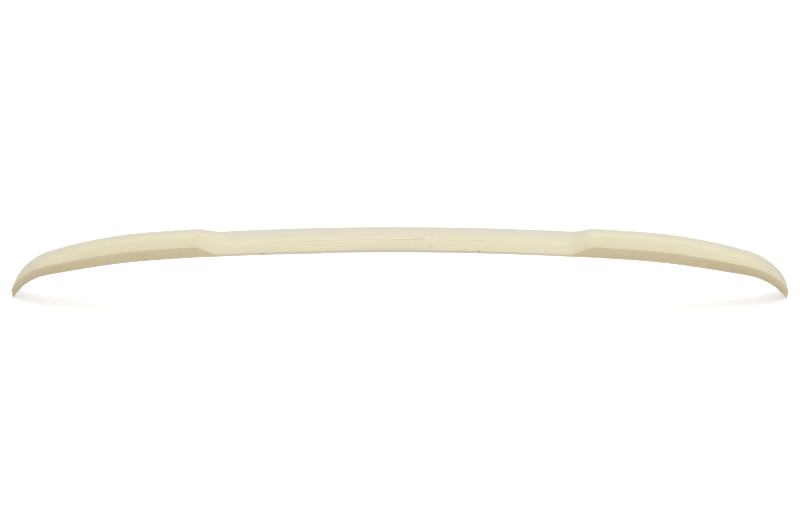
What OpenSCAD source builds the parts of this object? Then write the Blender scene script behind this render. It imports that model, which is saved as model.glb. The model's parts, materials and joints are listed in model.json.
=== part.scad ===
// Roof spoiler: one moulded lip that follows the rear edge of a car's roof.
// X runs across the car to the right, Y towards its front, Z up from the bonding face.
// The origin is on the bonding face, at the centreline, where the roof turns down onto the window.
// Each section lies across the lip: u is measured back from the front edge, h out from the base.

/* [Roof line] */
// Radius of the roof's crown, which the middle of the lip follows
crown_r = 3160; // [2400:20:4000]
// Length along the roof from the centreline to the end of the crown
crown_run = 358; // [340:1:380]
// Radius of the haunch between the crown and the shoulder
haunch_r = 885; // [700:5:1200]
// Length along the roof from the centreline to the start of the shoulder
shoulder_run = 528; // [520:1:545]
// Radius of the shoulder, where the end turns down
shoulder_r = 105; // [100:1:140]
// Length along the roof from the centreline to either end
half_run = 619; // [608:1:630]
// Radius of the front edge seen from above
plan_r = 3270; // [2400:10:4500]
// How far each end sweeps forward of that radius
end_sweep = 2; // [0:0.5:8]

/* [Base] */
// Depth of the lip from front edge to rear edge
chord = 87.5; // [84:0.5:100]
// Distance behind the front edge at which the base turns down onto the window
bend_u = 60; // [50:1:64]
// Angle by which the window falls away from the roof
window_fall = 14; // [6:0.5:20]
// Distance of the ridge behind the front edge
ridge_u = 63; // [50:1:66]
// Thickness of the feathered front edge
toe_h = 1.8; // [1.2:0.1:3]

/* [Low middle] */
// Height of the ridge in the low middle
low_ridge_h = 4.6; // [4:0.1:8]
// Height of the rear face in the low middle
low_face_h = 3.8; // [3:0.1:8]
// Fullness of the slope ahead of the ridge in the low middle
low_fullness = 3; // [1.5:0.1:4]

/* [Raised sides] */
// Length along the roof at which the rear edge starts to rise
lift_start = 261; // [240:1:270]
// How much nearer the centreline the front edge starts to rise
lift_fan = 18; // [0:1:30]
// Length along the roof at which the side is fully raised
lift_end = 298; // [285:1:325]
// Height of the ridge on the raised sides
side_ridge_h = 19.8; // [14:0.2:26]
// Height of the rear face on the raised sides
side_face_h = 16.8; // [12:0.2:20]
// Fullness of the slope ahead of the ridge on the raised sides
side_fullness = 3.6; // [2.4:0.1:4.2]
// How far the rear edge stands out over the foot of the rear face
overhang = 0.8; // [0:0.1:3]

/* [Ends] */
// Length along the roof at which the lip starts to taper
taper_start = 393; // [350:1:430]
// Depth of the lip at its ends
end_chord = 48; // [36:1:60]
// Height of the ridge at the ends
end_ridge_h = 4.7; // [4:0.1:8]
// Height of the rear face at the ends
end_face_h = 10.6; // [7:0.1:13]
// Length along the roof at which the sections start to lean towards the cut end
cut_start = 569; // [560:1:580]
// Angle between the cut end and the upright, seen from behind
cut_lean = 15.5; // [10:0.5:40]

/* [Underside] */
// Thickness of the skin over the hollow underside
wall = 3; // [2.5:0.1:4]
// Width of the bonding land behind the front edge
land_w = 12; // [8:0.5:16]
// Width of the foot under the rear face
foot_w = 5; // [4:0.5:8]
// Draft of the hollow's front wall
front_draft = 4; // [2:0.5:8]
// Draft of the hollow's rear wall
rear_draft = 1.5; // [1:0.1:3]
// Length of solid material at each end
solid_end = 22; // [10:1:40]
// Length over which the hollow runs out ahead of the solid end
hollow_runout = 34; // [20:1:60]

/* [Edges] */
// Distance from the ridge line at which its soft rounding starts
ridge_soft = 12; // [3:0.5:14]
// Distance from the rear edge at which its rounding starts
rear_soft = 1.2; // [0.6:0.1:2]
// Height of the mould flash left under the rear edge
flash_h = 0.8; // [0:0.1:1.5]
// Distance from the centreline at which the flash was trimmed off
flash_trim = 112; // [60:1:180]

/* [Hidden] */

// Exponents of the taper in depth, in ridge height and in rear face height
chord_taper = 3.5;
ridge_taper = 2;
face_taper = 1.8;

// Number of sections on each stretch of one half, from the centreline outwards
middle_steps = 4;
lift_steps = 18;
side_steps = 5;
taper_steps = 11;
shoulder_steps = 6;
end_steps = 13;

// Number of points on each stretch of a section, from the front edge round to the foot and back
nose_steps = 3;
flank_steps = 11;
ridge_steps = 4;
deck_steps = 3;
rear_steps = 2;
roof_steps = 4;

// Angle that the rounded front edge turns through before it runs into the slope
nose_turn = 60;
// Length of the step where the flash was trimmed
flash_step = 1;

function clamp01(t) = min(1, max(0, t));
function part_of(s, from, to) = clamp01((s - from) / (to - from));
function smooth(t) = t * t * (3 - 2 * t);
function mix(a, b, t) = a + (b - a) * t;
function steps(from, to, n) = [for (i = [1:n]) mix(from, to, i / n)];

// Turn of the roof line, in degrees, at the length s from the centreline
function crown_turn(s) = min(s, crown_run) / crown_r * 180 / PI;
function haunch_turn(s) =
    crown_turn(s) + max(0, min(s, shoulder_run) - crown_run) / haunch_r * 180 / PI;
function turn(s) = haunch_turn(s) + max(0, s - shoulder_run) / shoulder_r * 180 / PI;

// Place of the roof line at the length s: three arcs, each tangent to the next
function roof_x(s) =
    crown_r * sin(crown_turn(s))
    + haunch_r * (sin(haunch_turn(s)) - sin(crown_turn(s)))
    + shoulder_r * (sin(turn(s)) - sin(haunch_turn(s)));
function roof_z(s) =
    -crown_r * (1 - cos(crown_turn(s)))
    - haunch_r * (cos(crown_turn(s)) - cos(haunch_turn(s)))
    - shoulder_r * (cos(haunch_turn(s)) - cos(turn(s)));

// Rise of the section's point at the depth u: the S-shaped step fans out towards the front edge
function lift(s, u) = smooth(part_of(s, lift_start - lift_fan * (1 - u / chord), lift_end));
function taper(s) = part_of(s, taper_start, half_run);

// Front edge seen from above, and the lean of the section's plane seen from behind
function front_y(s) = bend_u + s * s / (2 * plan_r) + end_sweep * pow(taper(s), 2);
function lean(s) = mix(turn(s), cut_lean, pow(part_of(s, cut_start, half_run), 2));

// Sizes of the section at the length s
function chord_at(s) = mix(chord, end_chord, pow(taper(s), chord_taper));
function share(s) = chord_at(s) / chord;
function ridge_h(s, u) =
    mix(mix(low_ridge_h, side_ridge_h, lift(s, u)), end_ridge_h, pow(taper(s), ridge_taper));
function face_h(s, u) =
    mix(mix(low_face_h, side_face_h, lift(s, u)), end_face_h, pow(taper(s), face_taper));
function foot_u(s) = chord_at(s) - overhang * lift(s, chord) * (1 - pow(taper(s), ridge_taper));
function fullness(s, u) = mix(low_fullness, side_fullness, lift(s, u));
function hollow(s) = lift(s, chord) * (1 - smooth(part_of(
    s, half_run - solid_end - hollow_runout, half_run - solid_end)));
function flash(s) =
    s < flash_trim ? 0 : flash_h * (1 - smooth(part_of(s, flash_trim, lift_start)));

// Height of the base: flat on the roof, then falling with the window
function base_h(s, u) = -max(0, u - bend_u * share(s)) * tan(window_fall);
function rear_h(s, u) = base_h(s, foot_u(s)) + face_h(s, u);

// Slope ahead of the ridge, deck behind it, and the soft ridge between them
function nose_u() = toe_h * (1 - cos(nose_turn));
function flank_h(s, u) =
    let (q = clamp01((u - nose_u()) / (ridge_u * share(s) - nose_u())))
    toe_h + (ridge_h(s, u) - toe_h) * (1 - pow(1 - q, fullness(s, u)));
function deck_h(s, u) =
    let (ridge = ridge_u * share(s))
    mix(ridge_h(s, u), rear_h(s, u), (u - ridge) / (chord_at(s) - ridge));
function skin_h(s, u) =
    let (ridge = ridge_u * share(s), soft = ridge_soft * share(s), t = (u - ridge + soft) / (2 * soft))
    t <= 0 ? flank_h(s, u)
    : t >= 1 ? deck_h(s, u)
    : pow(1 - t, 2) * flank_h(s, ridge - soft) + 2 * t * (1 - t) * ridge_h(s, ridge)
        + t * t * deck_h(s, ridge + soft);

// Outer skin of the section, from the front edge over the ridge to the foot
function nose(s) = [for (i = [0:nose_steps - 1])
    let (a = nose_turn * i / (nose_steps - 1))
    [toe_h * (1 - cos(a)), toe_h * sin(a) / sin(nose_turn)]];
function top_skin(s) =
    let (
        ridge = ridge_u * share(s),
        soft = ridge_soft * share(s),
        us = concat(
            steps(nose_u(), ridge - soft, flank_steps),
            steps(ridge - soft, ridge + soft, ridge_steps),
            steps(ridge + soft, chord_at(s) - rear_soft, deck_steps)))
    [for (u = us) [u, skin_h(s, u)]];
function rear_edge(s) =
    let (
        corner = [chord_at(s), rear_h(s, chord)],
        foot = [foot_u(s), base_h(s, foot_u(s))],
        from = [chord_at(s) - rear_soft, skin_h(s, chord_at(s) - rear_soft)],
        to = corner + (foot - corner) * rear_soft / norm(foot - corner))
    [for (t = steps(0, 1, rear_steps))
        pow(1 - t, 2) * from + 2 * t * (1 - t) * corner + t * t * to];

// Underside of the section, from the foot forward to the bonding land
function ceiling(s, u) = [u, mix(base_h(s, u), skin_h(s, u) - wall, hollow(s))];
function foot(s, side) =
    let (u = foot_u(s))
    [[u, base_h(s, u) - (side < 0 ? flash(s) : 0)],
     [u - foot_w * share(s), base_h(s, u - foot_w * share(s))]];
function underside(s) =
    let (
        k = share(s),
        rear = foot_u(s) - (foot_w + rear_draft) * k,
        front = (land_w + front_draft) * k,
        us = concat([rear], steps(rear, bend_u * k, roof_steps), steps(bend_u * k, front, roof_steps)))
    concat([for (u = us) ceiling(s, u)], [[land_w * k, 0]]);

function section(s, side) =
    concat(nose(s), top_skin(s), rear_edge(s), foot(s, side), underside(s));

// A section's points put in place at the length s on one side of the car
function ring(s, side) = [for (p = section(s, side)) [
    side * (roof_x(s) + p[1] * sin(lean(s))),
    front_y(s) - p[0],
    roof_z(s) + p[1] * cos(lean(s))]];

// Sections from the centreline to one end
half_runs = concat(
    steps(0, flash_trim, middle_steps),
    [flash_trim + flash_step],
    steps(flash_trim + flash_step, lift_start - lift_fan, middle_steps),
    steps(lift_start - lift_fan, lift_end, lift_steps),
    steps(lift_end, taper_start, side_steps),
    steps(taper_start, shoulder_run, taper_steps),
    steps(shoulder_run, cut_start, shoulder_steps),
    steps(cut_start, half_run, end_steps));
half_count = len(half_runs);

// Point inside a cut end from which every edge of its outline can be seen
function end_centre(side) =
    let (s = half_run, u = bend_u * share(s), h = skin_h(s, u) / 2)
    [side * (roof_x(s) + h * sin(lean(s))), front_y(s) - u, roof_z(s) + h * cos(lean(s))];

module spoiler() {
    left = [for (i = [half_count - 1:-1:0]) ring(half_runs[i], -1)];
    right = [for (s = half_runs) ring(s, 1)];
    rings = concat(left, [ring(0, 1)], right);
    n = len(rings[0]);
    last = (len(rings) - 1) * n;
    left_centre = len(rings) * n;
    right_centre = left_centre + 1;
    points = concat([for (r = rings, p = r) p], [end_centre(-1), end_centre(1)]);
    skin = [for (i = [0:len(rings) - 2], k = [0:n - 1])
        let (a = i * n + k, b = i * n + (k + 1) % n)
        each [[a, b + n, b], [a, a + n, b + n]]];
    left_end = [for (k = [0:n - 1]) [left_centre, k, (k + 1) % n]];
    right_end = [for (k = [0:n - 1]) [right_centre, last + (k + 1) % n, last + k]];
    color("#E3DABC")
        polyhedron(points, concat(skin, left_end, right_end));
}

spoiler();
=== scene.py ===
"""Roof spoiler: the looks of one moulded cream lip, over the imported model, and its studio."""
import json
import math

import bpy
from bpy.props import FloatProperty, FloatVectorProperty, IntProperty, PointerProperty
from mathutils import Matrix, Vector

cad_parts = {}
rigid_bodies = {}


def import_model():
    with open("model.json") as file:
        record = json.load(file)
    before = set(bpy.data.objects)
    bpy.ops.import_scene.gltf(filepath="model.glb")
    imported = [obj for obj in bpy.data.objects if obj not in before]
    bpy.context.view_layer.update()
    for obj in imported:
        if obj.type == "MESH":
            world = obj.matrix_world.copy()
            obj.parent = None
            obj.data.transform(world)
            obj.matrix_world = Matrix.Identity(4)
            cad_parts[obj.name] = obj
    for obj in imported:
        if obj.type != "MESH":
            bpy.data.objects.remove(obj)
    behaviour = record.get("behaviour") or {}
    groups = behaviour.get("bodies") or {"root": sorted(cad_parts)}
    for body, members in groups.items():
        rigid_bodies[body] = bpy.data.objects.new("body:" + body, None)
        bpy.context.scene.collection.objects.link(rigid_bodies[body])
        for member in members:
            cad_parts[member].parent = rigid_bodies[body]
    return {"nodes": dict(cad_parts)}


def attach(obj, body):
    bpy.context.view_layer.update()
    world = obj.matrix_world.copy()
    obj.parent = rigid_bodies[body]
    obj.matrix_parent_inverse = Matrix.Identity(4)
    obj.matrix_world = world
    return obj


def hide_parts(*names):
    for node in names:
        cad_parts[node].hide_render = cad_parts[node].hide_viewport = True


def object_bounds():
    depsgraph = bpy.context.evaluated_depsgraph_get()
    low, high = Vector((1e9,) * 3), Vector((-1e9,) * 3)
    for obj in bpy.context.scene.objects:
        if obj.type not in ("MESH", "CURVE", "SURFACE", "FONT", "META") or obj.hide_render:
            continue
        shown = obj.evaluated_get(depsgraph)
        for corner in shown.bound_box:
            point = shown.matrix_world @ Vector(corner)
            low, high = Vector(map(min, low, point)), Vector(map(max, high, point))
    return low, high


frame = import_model()
CAD_LOW, CAD_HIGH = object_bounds()

bl_info = {
    "name": "Roof spoiler",
    "version": (1, 0, 0),
    "blender": (4, 5, 0),
    "location": "View3D > Sidebar > Spoiler",
    "description": "A moulded roof spoiler lip in unpainted cream plastic, and a plain studio",
    "category": "Object",
}

NODE = "spoiler"


class SpoilerForm(bpy.types.PropertyGroup):
    """Sizes that finish the moulding's shape"""

    merge_distance: FloatProperty(
        name="Merge distance", description="Corners nearer than this become one",
        default=0.00001, unit="LENGTH")
    crease_angle: FloatProperty(
        name="Crease angle", description="Edges that turn more than this stay sharp",
        default=math.radians(40), subtype="ANGLE")
    smooth_levels: IntProperty(
        name="Smoothing levels", description="Times that each face is divided",
        default=2, min=0, max=2)


class SpoilerFinish(bpy.types.PropertyGroup):
    """Colours and texture of the cream plastic"""

    skin_colour: FloatVectorProperty(
        name="Skin", description="Colour of the moulded skin", subtype="COLOR", size=3,
        default=(0.622, 0.562, 0.389), min=0, max=1)
    pale_colour: FloatVectorProperty(
        name="Pale patches", description="Colour of the skin's paler patches", subtype="COLOR",
        size=3, default=(0.632, 0.573, 0.400), min=0, max=1)
    line_colour: FloatVectorProperty(
        name="Parting line", description="Colour of the mould's parting line", subtype="COLOR",
        size=3, default=(0.40, 0.27, 0.15), min=0, max=1)
    # Painted highlight: a pale strip just behind the parting line
    painted_highlight_colour: FloatVectorProperty(
        name="Highlight line", description="Colour of the rubbed strip behind the parting line",
        subtype="COLOR", size=3, default=(0.74, 0.67, 0.47), min=0, max=1)
    # A greyer, darker band along the thin front edge
    edge_colour: FloatVectorProperty(
        name="Front edge", description="Colour of the greyish darkening along the thin front edge",
        subtype="COLOR", size=3, default=(0.42, 0.47, 0.52), min=0, max=1)
    scraped_colour: FloatVectorProperty(
        name="Scraped edge", description="Colour of the low rear edge, which was scraped clean",
        subtype="COLOR", size=3, default=(0.64, 0.62, 0.54), min=0, max=1)
    stain_colour: FloatVectorProperty(
        name="Stain", description="Colour of the brown mould stains", subtype="COLOR",
        size=3, default=(0.42, 0.30, 0.18), min=0, max=1)
    # Also the colour of the painted shade along the rounded low rear edge in the middle
    smudge_and_shade_colour: FloatVectorProperty(
        name="Smudge", description="Colour of the grey smudges", subtype="COLOR",
        size=3, default=(0.38, 0.35, 0.28), min=0, max=1)
    # Painted shade: darkens the rear faces of the raised sides towards their foot and their ends
    painted_shade_colour: FloatVectorProperty(
        name="Shading", description="Colour of the grime above the foot of the raised sides",
        subtype="COLOR", size=3, default=(0.42, 0.345, 0.235), min=0, max=1)
    nick_colour: FloatVectorProperty(
        name="Nick", description="Colour inside the nicks and pinholes", subtype="COLOR",
        size=3, default=(0.24, 0.19, 0.13), min=0, max=1)
    roughness: FloatProperty(
        name="Roughness", description="Roughness of the moulded skin",
        default=0.24, min=0, max=1, subtype="FACTOR")
    grain_size: FloatProperty(
        name="Grain size", description="Size of the fine moulded grain",
        default=0.0009, unit="LENGTH")
    patch_size: FloatProperty(
        name="Patch size", description="Size of the paler patches",
        default=0.035, unit="LENGTH")
    speck_size: FloatProperty(
        name="Speck size", description="Size of the fine darker specks",
        default=0.004, unit="LENGTH")
    speck_shade: FloatProperty(
        name="Speck shade", description="Colour of the specks, as a share of the skin's",
        default=0.93, min=0, max=1, subtype="FACTOR")
    speck_strength: FloatProperty(
        name="Speck strength", description="How strongly the specks show",
        default=0.25, min=0, max=1, subtype="FACTOR")
    line_strength: FloatProperty(
        name="Parting line strength", description="How strongly the parting line shows",
        default=0.6, min=0, max=1, subtype="FACTOR")
    line_relief: FloatProperty(
        name="Parting line relief", description="Height of the parting line's thin flash",
        default=0.00015, unit="LENGTH")
    # Strength of the painted highlight strip behind the parting line
    painted_highlight_strength: FloatProperty(
        name="Highlight line strength", description="How strongly the rubbed strip shows",
        default=0.3, min=0, max=1, subtype="FACTOR")
    edge_strength: FloatProperty(
        name="Front edge strength", description="How strongly the darkening of the front edge shows",
        default=0.4, min=0, max=1, subtype="FACTOR")
    scraped_strength: FloatProperty(
        name="Scraped edge strength", description="How strongly the scraped edge shows",
        default=0.8, min=0, max=1, subtype="FACTOR")
    # Strength of the painted shade on the raised sides' rear faces
    painted_shade_strength: FloatProperty(
        name="Grime strength", description="How strongly the grime shows",
        default=0.5, min=0, max=1, subtype="FACTOR")
    nick_depth: FloatProperty(
        name="Nick depth", description="Depth of the nicks and pinholes",
        default=0.0005, unit="LENGTH")
    patch_roughness: FloatProperty(
        name="Patch roughness", description="How much rougher the paler patches are",
        default=0.03, min=0, max=1, subtype="FACTOR")
    plastic_ior: FloatProperty(
        name="Plastic IOR", description="Index of refraction of the plastic", default=1.55)
    under_shade: FloatProperty(
        name="Underside shade", description="Colour of the underside, as a share of the skin's",
        default=0.86, min=0, max=1, subtype="FACTOR")
    under_roughness: FloatProperty(
        name="Underside roughness", description="Roughness of the underside",
        default=0.68, min=0, max=1, subtype="FACTOR")
    under_polish: FloatProperty(
        name="Underside polish", description="How much smoother the skin-coloured patches are",
        default=0.1, min=0, max=1, subtype="FACTOR")
    under_patch_size: FloatProperty(
        name="Underside patch size", description="Size of the underside's skin-coloured patches",
        default=0.021, unit="LENGTH")
    under_grain_size: FloatProperty(
        name="Underside grain size", description="Size of the coarser grain of the underside",
        default=0.0016, unit="LENGTH")
    under_grain_height: FloatProperty(
        name="Underside grain height", description="Height of the coarser grain of the underside",
        default=0.00005, unit="LENGTH")


class SpoilerStudio(bpy.types.PropertyGroup):
    """Camera, floor and lights"""

    azimuth: FloatProperty(
        name="Azimuth", description="Camera's turn from straight behind",
        default=math.radians(3.5), subtype="ANGLE")
    elevation: FloatProperty(
        name="Elevation", description="Camera's height over the horizon",
        default=math.radians(20.7), subtype="ANGLE")
    roll: FloatProperty(
        name="Roll", description="Camera's tilt about its own line of sight",
        default=math.radians(-1.22), subtype="ANGLE")
    distance: FloatProperty(
        name="Distance", description="Camera's distance from its target",
        default=5.65, unit="LENGTH")
    target: FloatVectorProperty(
        name="Target", description="Point at the centre of the picture", subtype="TRANSLATION",
        size=3, default=(0.0079, 0.015, -0.0443))
    lens: FloatProperty(
        name="Lens", description="Camera's focal length in millimetres", default=170.1)
    sensor: FloatProperty(
        name="Sensor", description="Width of the camera's sensor in millimetres", default=36.0)
    floor_size: FloatProperty(
        name="Floor", description="Width of the floor", default=60.0, unit="LENGTH")
    floor_colour: FloatVectorProperty(
        name="Floor colour", description="Colour of the paper floor", subtype="COLOR",
        size=3, default=(0.92, 0.92, 0.92), min=0, max=1)
    reflected_floor_colour: FloatVectorProperty(
        name="Reflected floor", description="Colour of the floor where the lip reflects it",
        subtype="COLOR", size=3, default=(0.50, 0.50, 0.50), min=0, max=1)
    floor_glow: FloatVectorProperty(
        name="Floor glow", description="Glow that the camera sees on the floor, over the shadow",
        subtype="COLOR", size=3, default=(0.30, 0.325, 0.40), min=0, max=1)
    horizon_light: FloatVectorProperty(
        name="Horizon", description="Light from ahead of the lip, near the floor",
        subtype="COLOR", size=3, default=(0.74, 0.80, 0.755), min=0)
    backdrop_light: FloatVectorProperty(
        name="Backdrop", description="Dimmer, bluish light from the backdrop ahead of the lip",
        subtype="COLOR", size=3, default=(0.61, 0.62, 0.965), min=0)
    window_light: FloatVectorProperty(
        name="Windows", description="Light from the row of windows above the backdrop",
        subtype="COLOR", size=3, default=(1.475, 1.525, 1.275), min=0)
    upper_light: FloatVectorProperty(
        name="Upper wall", description="Light from the wall above the windows",
        subtype="COLOR", size=3, default=(1.40, 1.47, 1.48), min=0)
    ceiling_light: FloatVectorProperty(
        name="Ceiling", description="Light from the white ceiling",
        subtype="COLOR", size=3, default=(1.46, 1.67, 1.88), min=0)
    room_light: FloatVectorProperty(
        name="Room", description="Dim light from the room behind the camera",
        subtype="COLOR", size=3, default=(0.782, 0.738, 0.655), min=0)
    lamp_light: FloatVectorProperty(
        name="Lamps", description="Warm light from high in the room behind the camera",
        subtype="COLOR", size=3, default=(0.832, 0.538, 0.21), min=0)
    right_share: FloatProperty(
        name="Right side", description="How much brighter the room is at the right",
        default=0.12, min=0, max=1, subtype="FACTOR")
    backdrop_start: FloatProperty(
        name="Backdrop's start", description="Height of the direction where the backdrop starts",
        default=0.15, min=-1, max=1)
    window_start: FloatProperty(
        name="Windows' start", description="Height of the direction where the windows start",
        default=0.35, min=-1, max=1)
    upper_start: FloatProperty(
        name="Upper wall's start", description="Height of the direction where that wall starts",
        default=0.55, min=-1, max=1)
    lamp_start: FloatProperty(
        name="Lamps' start", description="Height of the direction where the lamps start",
        default=0.35, min=-1, max=1)
    ceiling_start: FloatProperty(
        name="Ceiling's start", description="Height of the direction where the ceiling starts",
        default=0.80, min=-1, max=1)
    softness: FloatProperty(
        name="Softness", description="Half of the height over which one light becomes the next",
        default=0.07, min=0, max=1)
    side_softness: FloatProperty(
        name="Side softness", description="Half of the width over which front and back meet",
        default=0.5, min=0, max=1)
    overhead_place: FloatVectorProperty(
        name="Overhead light's place", description="Middle of the large soft light overhead",
        subtype="TRANSLATION", size=3, default=(0.2, 1.3, 2.3))
    overhead_size: FloatVectorProperty(
        name="Overhead light's size", description="Width and depth of the light overhead",
        size=2, default=(4.0, 2.2))
    overhead_power: FloatProperty(
        name="Overhead light", description="Power of the large soft light overhead, in watts",
        default=3.0)
    side_place: FloatVectorProperty(
        name="Side light's place", description="Middle of the weaker soft light at the left",
        subtype="TRANSLATION", size=3, default=(-3.5, 1.5, 2.6))
    side_size: FloatVectorProperty(
        name="Side light's size", description="Width and height of the light at the left",
        size=2, default=(2.0, 2.0))
    side_power: FloatProperty(
        name="Side light", description="Power of the weaker soft light at the left, in watts",
        default=2.0)


def deselect_all():
    """Leave edit mode with nothing selected"""
    if bpy.context.object and bpy.context.object.mode != "OBJECT":
        bpy.ops.object.mode_set(mode="OBJECT")
    bpy.ops.object.select_all(action="DESELECT")


def make_active(piece):
    """Select one piece alone"""
    deselect_all()
    piece.select_set(True)
    bpy.context.view_layer.objects.active = piece


class NodeSheet:
    """A node tree that is filled in from left to right"""

    def __init__(self, tree):
        self.tree = tree

    def add(self, kind, **settings):
        """A node, with its settings and its input values by socket name or number"""
        inputs = settings.pop("inputs", {})
        node = self.tree.nodes.new(kind)
        for name, value in settings.items():
            setattr(node, name, value)
        for socket, value in inputs.items():
            self.feed(node.inputs[socket], value)
        return node

    def feed(self, socket, value):
        """Link an output to a socket, or set the socket's own value"""
        if isinstance(value, bpy.types.NodeSocket):
            self.tree.links.new(value, socket)
        elif socket.type == "RGBA" and len(value) == 3:
            socket.default_value = (*value, 1)
        else:
            socket.default_value = value

    def maths(self, operation, *values):
        """A maths node's result"""
        node = self.add("ShaderNodeMath", operation=operation)
        for socket, value in zip(node.inputs, values):
            self.feed(socket, value)
        return node.outputs[0]

    def between(self, value, none, full):
        """A smooth step, rising or falling: 0 at none and beyond it, 1 at full and beyond it"""
        node = self.add(
            "ShaderNodeMapRange", interpolation_type="SMOOTHSTEP",
            inputs={"Value": value, "From Min": none, "From Max": full})
        return node.outputs["Result"]

    def parts(self, vector):
        """The three parts of a vector"""
        return self.add("ShaderNodeSeparateXYZ", inputs={0: vector}).outputs

    def bow(self, x, radius):
        """How far a line bowed to a radius lies at x from where it crosses the middle"""
        return self.maths(
            "DIVIDE", self.maths("MULTIPLY", x, x), self.maths("MULTIPLY", radius, 2.0))

    def blend(self, factor, one, two):
        """Mix of two colours"""
        node = self.add("ShaderNodeMix", data_type="RGBA")
        self.feed(node.inputs[0], factor)
        self.feed(node.inputs[6], one)
        self.feed(node.inputs[7], two)
        return node.outputs[2]

    def paint(self, colour, mask, strength, tint):
        """A colour with a tint over it, where the mask is, at the given strength"""
        return self.blend(self.maths("MULTIPLY", mask, strength), colour, tint)


def new_group(name, inputs, outputs):
    """An empty node group with named sockets: its sheet, its input node and its output node"""
    tree = bpy.data.node_groups.new(name, "ShaderNodeTree")
    for socket, kind, value in inputs:
        made = tree.interface.new_socket(socket, in_out="INPUT", socket_type=kind)
        if value is not None:
            made.default_value = value
    for socket, kind in outputs:
        tree.interface.new_socket(socket, in_out="OUTPUT", socket_type=kind)
    sheet = NodeSheet(tree)
    return sheet, sheet.add("NodeGroupInput"), sheet.add("NodeGroupOutput")


def group_mottling():
    """Soft uneven patches, as left by mould release: a mask from 0 to 1"""
    sheet, given, result = new_group(
        "Mould mottling",
        [("Vector", "NodeSocketVector", None), ("Patch size", "NodeSocketFloat", 0.03),
         ("Low", "NodeSocketFloat", 0.35), ("High", "NodeSocketFloat", 0.65)],
        [("Mask", "NodeSocketFloat")])
    scale = sheet.maths("DIVIDE", 1.0, given.outputs["Patch size"])
    noise = sheet.add(
        "ShaderNodeTexNoise",
        inputs={"Vector": given.outputs["Vector"], "Scale": scale, "Detail": 5.0,
                "Roughness": 0.62, "Distortion": 0.4})
    mask = sheet.between(noise.outputs[0], given.outputs["Low"], given.outputs["High"])
    sheet.feed(result.inputs["Mask"], mask)
    return sheet.tree


def group_grain():
    """Fine moulded grain over a slight waviness: a height in metres"""
    sheet, given, result = new_group(
        "Moulded grain",
        [("Vector", "NodeSocketVector", None), ("Grain size", "NodeSocketFloat", 0.001),
         ("Grain height", "NodeSocketFloat", 0.00001), ("Wave size", "NodeSocketFloat", 0.03),
         ("Wave height", "NodeSocketFloat", 0.00003)],
        [("Height", "NodeSocketFloat")])
    grain = sheet.add(
        "ShaderNodeTexNoise",
        inputs={"Vector": given.outputs["Vector"], "Detail": 3.0, "Roughness": 0.6,
                "Scale": sheet.maths("DIVIDE", 1.0, given.outputs["Grain size"])})
    wave = sheet.add(
        "ShaderNodeTexNoise",
        inputs={"Vector": given.outputs["Vector"], "Detail": 1.0, "Roughness": 0.4,
                "Scale": sheet.maths("DIVIDE", 1.0, given.outputs["Wave size"])})
    height = sheet.maths(
        "ADD",
        sheet.maths("MULTIPLY", grain.outputs[0], given.outputs["Grain height"]),
        sheet.maths("MULTIPLY", wave.outputs[0], given.outputs["Wave height"]))
    sheet.feed(result.inputs["Height"], height)
    return sheet.tree


def group_parting_line():
    """A thin line along the ridge, bowed as the front edge is: a mask from 0 to 1"""
    sheet, given, result = new_group(
        "Parting line",
        [("Vector", "NodeSocketVector", None), ("Bow radius", "NodeSocketFloat", 4.2),
         ("Ridge place", "NodeSocketFloat", -0.0015), ("Half width", "NodeSocketFloat", 0.00045),
         ("Left end", "NodeSocketFloat", -0.215), ("Right end", "NodeSocketFloat", 0.26)],
        [("Mask", "NodeSocketFloat")])
    # The line's wander, its slant, and how far ahead it moves over the left step
    wander_rate, wander_reach, slant = 18.0, 0.0006, 0.005
    step_span, step_shift = (-0.266, -0.300), 0.0068
    # Where it fades in and out, where it shows on the step, and how often it breaks off
    left_fade, right_fade = 0.06, 0.16
    shown_outer, shown_inner, shown_strength = (-0.302, -0.292), (-0.262, -0.282), 0.6
    break_rate, break_span = 11.0, (0.1, 0.5)
    # Its sharp core and its rim, as shares of the half width
    core_share, rim_share = 0.4, 1.6
    x, y = sheet.parts(given.outputs["Vector"])[:2]
    bow = sheet.bow(x, given.outputs["Bow radius"])
    wander = sheet.add(
        "ShaderNodeTexNoise", noise_dimensions="1D",
        inputs={"W": sheet.maths("MULTIPLY", x, wander_rate), "Detail": 2.0})
    drift = sheet.maths("MULTIPLY_ADD", wander.outputs[0], 2 * wander_reach, -wander_reach)
    step = sheet.maths("MULTIPLY", sheet.between(x, *step_span), step_shift)
    ridge = sheet.maths("ADD", sheet.maths("ADD", bow, given.outputs["Ridge place"]), drift)
    ridge = sheet.maths("MULTIPLY_ADD", x, slant, sheet.maths("ADD", ridge, step))
    off = sheet.maths("ABSOLUTE", sheet.maths("SUBTRACT", y, ridge))
    half = given.outputs["Half width"]
    line = sheet.between(
        off, sheet.maths("MULTIPLY", half, rim_share), sheet.maths("MULTIPLY", half, core_share))
    left, right = given.outputs["Left end"], given.outputs["Right end"]
    from_left = sheet.between(x, left, sheet.maths("ADD", left, left_fade))
    to_right = sheet.between(x, right, sheet.maths("SUBTRACT", right, right_fade))
    over_step = sheet.maths(
        "MULTIPLY", sheet.between(x, *shown_outer), sheet.between(x, *shown_inner))
    over_step = sheet.maths("MULTIPLY", over_step, shown_strength)
    broken = sheet.add(
        "ShaderNodeTexNoise", noise_dimensions="1D",
        inputs={"W": sheet.maths("MULTIPLY", x, break_rate), "Detail": 2.0})
    strength = sheet.maths(
        "MULTIPLY", sheet.between(broken.outputs[0], *break_span),
        sheet.maths("MULTIPLY_ADD", from_left, to_right, over_step))
    sheet.feed(result.inputs["Mask"], sheet.maths("MULTIPLY", line, strength))
    return sheet.tree


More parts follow.
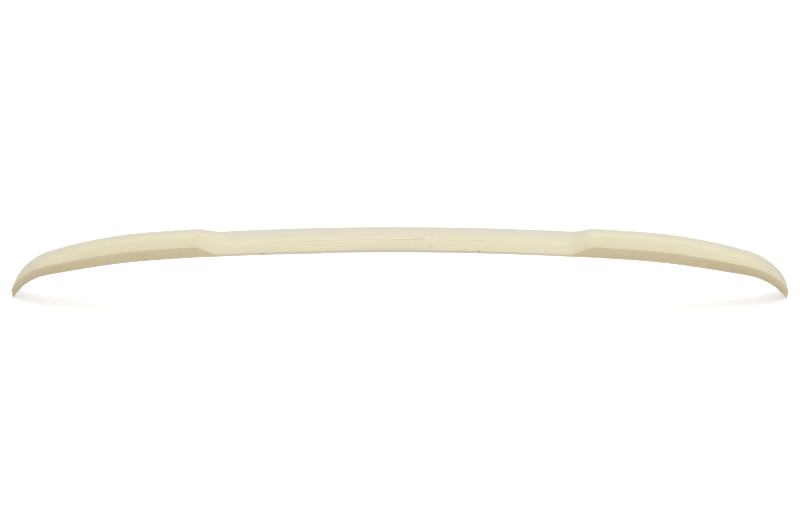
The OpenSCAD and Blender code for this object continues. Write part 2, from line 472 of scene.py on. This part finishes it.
def group_edge_bands():
    """Bands along the front edge and the low rear edge, both bowed alike: masks from 0 to 1"""
    sheet, given, result = new_group(
        "Edge bands",
        [("Vector", "NodeSocketVector", None), ("Bow radius", "NodeSocketFloat", 3.27),
         ("Front edge", "NodeSocketFloat", 0.060), ("Rear edge", "NodeSocketFloat", -0.0275),
         ("Front reach", "NodeSocketFloat", 0.012), ("Rear reach", "NodeSocketFloat", 0.0012),
         ("Middle", "NodeSocketFloat", 0.27)],
        [("Front", "NodeSocketFloat"), ("Rear", "NodeSocketFloat")])
    # Where the rear band is at its fullest, and how it fades out beside the middle
    rim, middle_fade = 0.0004, 0.03
    x, y = sheet.parts(given.outputs["Vector"])[:2]
    level = sheet.maths("SUBTRACT", y, sheet.bow(x, given.outputs["Bow radius"]))
    behind_front = sheet.maths("SUBTRACT", given.outputs["Front edge"], level)
    ahead_of_rear = sheet.maths("SUBTRACT", level, given.outputs["Rear edge"])
    front = sheet.between(behind_front, given.outputs["Front reach"], 0.0)
    rear = sheet.between(ahead_of_rear, given.outputs["Rear reach"], rim)
    inside = sheet.between(
        sheet.maths("ABSOLUTE", x), given.outputs["Middle"],
        sheet.maths("SUBTRACT", given.outputs["Middle"], middle_fade))
    sheet.feed(result.inputs["Front"], front)
    sheet.feed(result.inputs["Rear"], sheet.maths("MULTIPLY", rear, inside))
    return sheet.tree


def group_painted_foot_shade():
    """Painted shade above the foot of the raised sides, more of it at the ends: a mask from 0 to 1
    """
    sheet, given, result = new_group(
        "Foot grime",
        [("Vector", "NodeSocketVector", None), ("Bow radius", "NodeSocketFloat", 3.27),
         ("End fall", "NodeSocketFloat", 35.0), ("Foot height", "NodeSocketFloat", -0.0069),
         ("Foot place", "NodeSocketFloat", -0.0275), ("Reach", "NodeSocketFloat", 0.014),
         ("Inner share", "NodeSocketFloat", 0.3)],
        [("Mask", "NodeSocketFloat")])
    # The fall at the ends, as a power of the square, and how far ahead the foot moves with it
    fall_power, fall_ahead = 6.0, 0.54
    # Distances from the painted shade's own centre: where the raised sides start, where it grows
    centre, sides_span, ends_span, ends_reach = -0.012, (0.28, 0.31), (0.42, 0.555), 0.012
    # Where it stops ahead of the foot, short of the deck
    face_span = (0.0155, 0.0075)
    x, y, z = sheet.parts(given.outputs["Vector"])
    bow = sheet.bow(x, given.outputs["Bow radius"])
    fall = sheet.maths("POWER", sheet.maths("MULTIPLY", x, x), fall_power)
    fall = sheet.maths("MULTIPLY", fall, given.outputs["End fall"])
    above = sheet.maths(
        "SUBTRACT", sheet.maths("ADD", z, sheet.maths("ADD", bow, fall)),
        given.outputs["Foot height"])
    foot = sheet.maths("MULTIPLY_ADD", fall, fall_ahead, given.outputs["Foot place"])
    ahead = sheet.maths("SUBTRACT", sheet.maths("SUBTRACT", y, bow), foot)
    away = sheet.maths("ABSOLUTE", sheet.maths("SUBTRACT", x, centre))
    ends = sheet.between(away, *ends_span)
    reach = sheet.maths("MULTIPLY_ADD", ends, ends_reach, given.outputs["Reach"])
    share = sheet.maths(
        "MULTIPLY_ADD", ends, sheet.maths("SUBTRACT", 1.0, given.outputs["Inner share"]),
        given.outputs["Inner share"])
    mask = sheet.maths(
        "MULTIPLY", sheet.between(above, reach, 0.0), sheet.between(ahead, *face_span))
    mask = sheet.maths("MULTIPLY", mask, sheet.between(away, *sides_span))
    sheet.feed(result.inputs["Mask"], sheet.maths("MULTIPLY", mask, share))
    return sheet.tree


def group_spot():
    """One uneven spot at a given place: a mask from 0 to 1"""
    sheet, given, result = new_group(
        "Spot",
        [("Vector", "NodeSocketVector", None), ("Centre", "NodeSocketVector", (0, 0, 0)),
         ("Reach", "NodeSocketVector", (0.01, 0.01, 0.01)),
         ("Raggedness", "NodeSocketFloat", 0.5)],
        [("Mask", "NodeSocketFloat")])
    rim_span, noise_middle = (1.0, 0.15), 0.5
    away = sheet.add(
        "ShaderNodeVectorMath", operation="SUBTRACT",
        inputs={0: given.outputs["Vector"], 1: given.outputs["Centre"]})
    shares = sheet.add(
        "ShaderNodeVectorMath", operation="DIVIDE",
        inputs={0: away.outputs[0], 1: given.outputs["Reach"]})
    noise = sheet.add(
        "ShaderNodeTexNoise",
        inputs={"Vector": shares.outputs[0], "Scale": 1.6, "Detail": 3.0})
    length = sheet.add("ShaderNodeVectorMath", operation="LENGTH", inputs={0: shares.outputs[0]})
    ragged = sheet.maths(
        "MULTIPLY_ADD", sheet.maths("SUBTRACT", noise.outputs[0], noise_middle),
        given.outputs["Raggedness"], length.outputs["Value"])
    sheet.feed(result.inputs["Mask"], sheet.between(ragged, *rim_span))
    return sheet.tree


def place_group(sheet, tree, **values):
    """A group in a material, with its own values: its node"""
    node = sheet.add("ShaderNodeGroup", node_tree=tree)
    for name, value in values.items():
        sheet.feed(node.inputs[name.replace("_", " ")], value)
    return node


# Marks on the skin: centre and reach in metres, and how strongly each shows
BROWN_STAINS = [
    ((0.0375, 0.0030, 0.004), (0.012, 0.013, 0.02), 0.20),
    ((0.0240, -0.0020, 0.004), (0.010, 0.005, 0.02), 0.10),
    ((0.0194, -0.0160, 0.000), (0.010, 0.006, 0.02), 0.10),
    ((0.0100, -0.0140, 0.000), (0.080, 0.013, 0.02), 0.07),
    ((0.1276, 0.0005, 0.001), (0.016, 0.005, 0.02), 0.16),
    ((0.1053, -0.0244, -0.004), (0.018, 0.004, 0.02), 0.22),
    ((-0.2928, 0.0128, 0.005), (0.006, 0.006, 0.02), 0.26),
]
GREY_SMUDGES_AND_SHADE = [
    ((0.0573, 0.0103, 0.004), (0.006, 0.005, 0.02), 0.30),
    ((0.0577, -0.0150, 0.000), (0.008, 0.009, 0.02), 0.16),
    ((0.0774, -0.0071, 0.002), (0.012, 0.004, 0.02), 0.08),
    # Painted shade: a darker band along the rounded low rear edge in the middle
    ((0.0000, -0.0245, -0.003), (0.110, 0.004, 0.02), 0.30),
]
NICKS = [
    ((0.1275, -0.0252, -0.0068), (0.0040, 0.004, 0.0030), 0.4),
    ((-0.1941, -0.0217, -0.0110), (0.0060, 0.004, 0.0026), 0.32),
    ((-0.4267, 0.0320, -0.0114), (0.0016, 0.0030, 0.004), 0.22),
    ((-0.4100, 0.0317, -0.0081), (0.0014, 0.0026, 0.004), 0.5),
    ((-0.4035, 0.0292, -0.0070), (0.0012, 0.0022, 0.004), 0.35),
]


def build_groups():
    """Every shared effect, by name"""
    return {
        "mottling": group_mottling(),
        "grain": group_grain(),
        "line": group_parting_line(),
        "edges": group_edge_bands(),
        "shading": group_painted_foot_shade(),
        "spot": group_spot(),
    }


def new_material(name):
    """An empty material: itself and its sheet"""
    material = bpy.data.materials.new(name)
    material.use_nodes = True
    material.node_tree.nodes.clear()
    return material, NodeSheet(material.node_tree)


def skin_material(finish, groups):
    """The moulded outer skin: cream, satin, with its parting line, marks and grain, a painted
    highlight strip, and painted shade on the rear faces and along the low rear edge
    """
    material, sheet = new_material("cream_skin")
    place = sheet.add("ShaderNodeTexCoord").outputs["Object"]
    patches = place_group(
        sheet, groups["mottling"], Vector=place, Patch_size=finish.patch_size)
    colour = sheet.blend(patches.outputs[0], finish.skin_colour, finish.pale_colour)
    specks = place_group(
        sheet, groups["mottling"], Vector=place, Patch_size=finish.speck_size, Low=0.3, High=0.7)
    colour = sheet.paint(
        colour, specks.outputs[0], finish.speck_strength,
        [part * finish.speck_shade for part in finish.skin_colour])
    line = place_group(sheet, groups["line"], Vector=place)
    # Painted highlight: a pale strip just behind the parting line
    highlighted = place_group(
        sheet, groups["line"], Vector=place, Ridge_place=-0.0048, Half_width=0.0012,
        Left_end=-0.13, Right_end=0.14)
    edges = place_group(sheet, groups["edges"], Vector=place)
    # Painted shade: the raised sides' rear faces darker towards their foot and towards the ends
    shading = place_group(sheet, groups["shading"], Vector=place)
    for mask, strength, tint in (
            (line.outputs[0], finish.line_strength, finish.line_colour),
            (highlighted.outputs[0], finish.painted_highlight_strength, finish.painted_highlight_colour),
            (edges.outputs["Front"], finish.edge_strength, finish.edge_colour),
            (edges.outputs["Rear"], finish.scraped_strength, finish.scraped_colour),
            (shading.outputs[0], finish.painted_shade_strength, finish.painted_shade_colour)):
        colour = sheet.paint(colour, mask, strength, tint)
    pits = 0.0
    for marks, tint in (
            (BROWN_STAINS, finish.stain_colour), (GREY_SMUDGES_AND_SHADE, finish.smudge_and_shade_colour),
            (NICKS, finish.nick_colour)):
        for centre, reach, strength in marks:
            spot = place_group(
                sheet, groups["spot"], Vector=place, Centre=centre, Reach=reach)
            colour = sheet.paint(colour, spot.outputs[0], strength, tint)
            if marks is NICKS:
                pits = sheet.maths("ADD", spot.outputs[0], pits)
    roughness = sheet.maths(
        "MULTIPLY_ADD", patches.outputs[0], finish.patch_roughness, finish.roughness)
    grain = place_group(sheet, groups["grain"], Vector=place, Grain_size=finish.grain_size)
    height = sheet.maths("MULTIPLY_ADD", line.outputs[0], finish.line_relief, grain.outputs[0])
    height = sheet.maths("MULTIPLY_ADD", pits, -finish.nick_depth, height)
    bump = sheet.add("ShaderNodeBump", inputs={"Height": height, "Distance": 1.0, "Strength": 1.0})
    shader = sheet.add(
        "ShaderNodeBsdfPrincipled",
        inputs={"Base Color": colour, "Roughness": roughness, "Normal": bump.outputs[0],
                "IOR": finish.plastic_ior})
    sheet.add("ShaderNodeOutputMaterial", inputs={"Surface": shader.outputs[0]})
    return material


def underside_material(finish, groups):
    """The unseen underside: the same plastic, duller, with a coarser grain"""
    material, sheet = new_material("cream_underside")
    place = sheet.add("ShaderNodeTexCoord").outputs["Object"]
    patches = place_group(
        sheet, groups["mottling"], Vector=place, Patch_size=finish.under_patch_size)
    dull = [part * finish.under_shade for part in finish.skin_colour]
    colour = sheet.blend(patches.outputs[0], dull, finish.skin_colour)
    roughness = sheet.maths(
        "MULTIPLY_ADD", patches.outputs[0], -finish.under_polish, finish.under_roughness)
    grain = place_group(
        sheet, groups["grain"], Vector=place, Grain_size=finish.under_grain_size,
        Grain_height=finish.under_grain_height)
    bump = sheet.add(
        "ShaderNodeBump", inputs={"Height": grain.outputs[0], "Distance": 1.0, "Strength": 1.0})
    shader = sheet.add(
        "ShaderNodeBsdfPrincipled",
        inputs={"Base Color": colour, "Roughness": roughness, "Normal": bump.outputs[0]})
    sheet.add("ShaderNodeOutputMaterial", inputs={"Surface": shader.outputs[0]})
    return material


def floor_material(studio):
    """Pale paper floor, darker in its reflection, which can be looked through from below"""
    material, sheet = new_material("pale_floor")
    ray = sheet.add("ShaderNodeLightPath")
    paper = sheet.blend(
        ray.outputs["Is Glossy Ray"], studio.floor_colour, studio.reflected_floor_colour)
    glow = sheet.blend(ray.outputs["Is Camera Ray"], (0.0, 0.0, 0.0), studio.floor_glow)
    shader = sheet.add(
        "ShaderNodeBsdfPrincipled",
        inputs={"Base Color": paper, "Roughness": 0.9, "Specular IOR Level": 0.1,
                "Emission Color": glow, "Emission Strength": 1.0})
    clear = sheet.add("ShaderNodeBsdfTransparent")
    back = sheet.add("ShaderNodeNewGeometry").outputs["Backfacing"]
    mixed = sheet.add(
        "ShaderNodeMixShader", inputs={0: back, 1: shader.outputs[0], 2: clear.outputs[0]})
    sheet.add("ShaderNodeOutputMaterial", inputs={"Surface": mixed.outputs[0]})
    return material


def copy_node(node_name, piece_name):
    """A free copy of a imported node, with its own mesh and no material"""
    source = frame["nodes"][node_name]
    piece = source.copy()
    piece.data = source.data.copy()
    piece.name = piece.data.name = piece_name
    piece.parent = None
    piece.matrix_world = Matrix.Identity(4)
    piece.data.materials.clear()
    bpy.context.scene.collection.objects.link(piece)
    return piece


class SPOILER_OT_moulding(bpy.types.Operator):
    """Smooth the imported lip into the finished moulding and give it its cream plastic"""

    bl_idname = "spoiler.moulding"
    bl_label = "Moulding"

    def execute(self, context):
        form, finish = context.scene.spoiler_form, context.scene.spoiler_finish
        piece = copy_node(NODE, "spoiler_moulding")
        make_active(piece)
        bpy.ops.object.mode_set(mode="EDIT")
        bpy.ops.mesh.select_mode(type="EDGE")
        bpy.ops.mesh.select_all(action="SELECT")
        bpy.ops.mesh.remove_doubles(threshold=form.merge_distance)
        bpy.ops.mesh.tris_convert_to_quads(face_threshold=math.pi, shape_threshold=math.pi)
        bpy.ops.mesh.select_all(action="DESELECT")
        bpy.ops.mesh.edges_select_sharp(sharpness=form.crease_angle)
        bpy.ops.transform.edge_crease(value=1)
        bpy.ops.mesh.mark_sharp()
        bpy.ops.object.mode_set(mode="OBJECT")
        skin, underside = skin_material(finish, GROUPS), underside_material(finish, GROUPS)
        piece.data.materials.append(underside)
        piece.data.materials.append(skin)
        self.paint_skin(piece, skin)
        smooth = piece.modifiers.new("Smooth", "SUBSURF")
        smooth.levels = smooth.render_levels = form.smooth_levels
        bpy.ops.object.modifier_apply(modifier=smooth.name)
        bpy.ops.object.shade_smooth_by_angle(angle=form.crease_angle)
        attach(piece, "root")
        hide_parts(NODE)
        return {"FINISHED"}

    def paint_skin(self, piece, skin):
        """Give the outer skin its own material: all faces joined to the top by soft edges"""
        make_active(piece)
        bpy.ops.object.mode_set(mode="EDIT")
        bpy.ops.mesh.select_mode(type="FACE")
        bpy.ops.mesh.select_all(action="DESELECT")
        bpy.ops.object.mode_set(mode="OBJECT")
        top = max(piece.data.polygons, key=lambda face: face.normal.z - abs(face.center.x))
        top.select = True
        bpy.ops.object.mode_set(mode="EDIT")
        bpy.ops.mesh.select_linked(delimit={"SHARP"})
        piece.active_material_index = piece.data.materials.find(skin.name)
        bpy.ops.object.material_slot_assign()
        bpy.ops.object.mode_set(mode="OBJECT")


def soft_light(name, place, size, power):
    """A rectangular soft light that faces the lip"""
    deselect_all()
    bpy.ops.object.light_add(type="AREA", location=place)
    light = bpy.context.object
    light.name = name
    light.rotation_euler = place.to_track_quat("Z", "Y").to_euler()
    light.data.shape = "RECTANGLE"
    light.data.size, light.data.size_y = size
    light.data.energy = power


class SPOILER_OT_studio(bpy.types.Operator):
    """Lay the pale floor, hang the soft lights and set the camera"""

    bl_idname = "spoiler.studio"
    bl_label = "Studio"

    def execute(self, context):
        studio = context.scene.spoiler_studio
        self.floor(studio)
        self.lights(context, studio)
        self.camera(context, studio)
        return {"FINISHED"}

    def floor(self, studio):
        """A pale floor just under the two turned-down ends"""
        deselect_all()
        bpy.ops.mesh.primitive_plane_add(size=studio.floor_size, location=(0, 0, CAD_LOW.z))
        floor = bpy.context.object
        floor.name = "studio_floor"
        floor.data.materials.append(floor_material(studio))
        bpy.ops.object.transform_apply(location=True)

    def lights(self, context, studio):
        """A room whose light changes with height and side, and two soft lights in it"""
        world = bpy.data.worlds.new("room")
        world.use_nodes = True
        sheet = NodeSheet(world.node_tree)
        x, y, z = sheet.parts(sheet.add("ShaderNodeTexCoord").outputs["Generated"])

        def above(start, low, high):
            soft = studio.softness
            return sheet.blend(sheet.between(z, start - soft, start + soft), low, high)

        front = studio.horizon_light
        for start, colour in (
                (studio.backdrop_start, studio.backdrop_light),
                (studio.window_start, studio.window_light),
                (studio.upper_start, studio.upper_light)):
            front = above(start, front, colour)
        back = above(studio.lamp_start, studio.room_light, studio.lamp_light)
        ahead = sheet.between(y, -studio.side_softness, studio.side_softness)
        light = above(
            studio.ceiling_start, sheet.blend(ahead, back, front), studio.ceiling_light)
        share = sheet.maths("MULTIPLY_ADD", x, studio.right_share, 1.0)
        scaled = sheet.add(
            "ShaderNodeVectorMath", operation="SCALE", inputs={0: light, "Scale": share})
        sheet.feed(world.node_tree.nodes["Background"].inputs["Color"], scaled.outputs[0])
        context.scene.world = world
        soft_light(
            "overhead_light", studio.overhead_place, studio.overhead_size, studio.overhead_power)
        soft_light("side_light", studio.side_place, studio.side_size, studio.side_power)

    def camera(self, context, studio):
        """The camera behind the lip and a little above it"""
        a, e = studio.azimuth, studio.elevation
        back = Vector((math.sin(a) * math.cos(e), -math.cos(a) * math.cos(e), math.sin(e)))
        right = Vector((math.cos(a), math.sin(a), 0))
        up = back.cross(right)
        turned = Matrix((right, up, back)).transposed() @ Matrix.Rotation(studio.roll, 3, "Z")
        bpy.ops.object.camera_add()
        camera = bpy.context.object
        camera.name = "camera"
        camera.matrix_world = Matrix.LocRotScale(
            Vector(studio.target) + back * studio.distance, turned, None)
        camera.data.lens = studio.lens
        camera.data.sensor_width = studio.sensor
        context.scene.camera = camera


class SPOILER_PT_panel(bpy.types.Panel):
    """Buttons for the lip and its studio"""

    bl_label = "Roof spoiler"
    bl_idname = "SPOILER_PT_panel"
    bl_space_type = "VIEW_3D"
    bl_region_type = "UI"
    bl_category = "Spoiler"

    def draw(self, context):
        for operator in OPERATORS:
            self.layout.operator(operator.bl_idname)


OPERATORS = (SPOILER_OT_moulding, SPOILER_OT_studio)
GROUPED = {
    "spoiler_form": SpoilerForm,
    "spoiler_finish": SpoilerFinish,
    "spoiler_studio": SpoilerStudio,
}


def register():
    for kind in (*GROUPED.values(), *OPERATORS, SPOILER_PT_panel):
        bpy.utils.register_class(kind)
    for name, kind in GROUPED.items():
        setattr(bpy.types.Scene, name, PointerProperty(type=kind))


def unregister():
    for name in GROUPED:
        delattr(bpy.types.Scene, name)
    for kind in (SPOILER_PT_panel, *reversed(OPERATORS), *reversed(GROUPED.values())):
        bpy.utils.unregister_class(kind)


GROUPS = {}


def main():
    register()
    GROUPS.update(build_groups())
    bpy.context.scene.view_settings.view_transform = "Standard"
    bpy.ops.spoiler.moulding()
    bpy.ops.spoiler.studio()


if __name__ == "__main__":
    main()
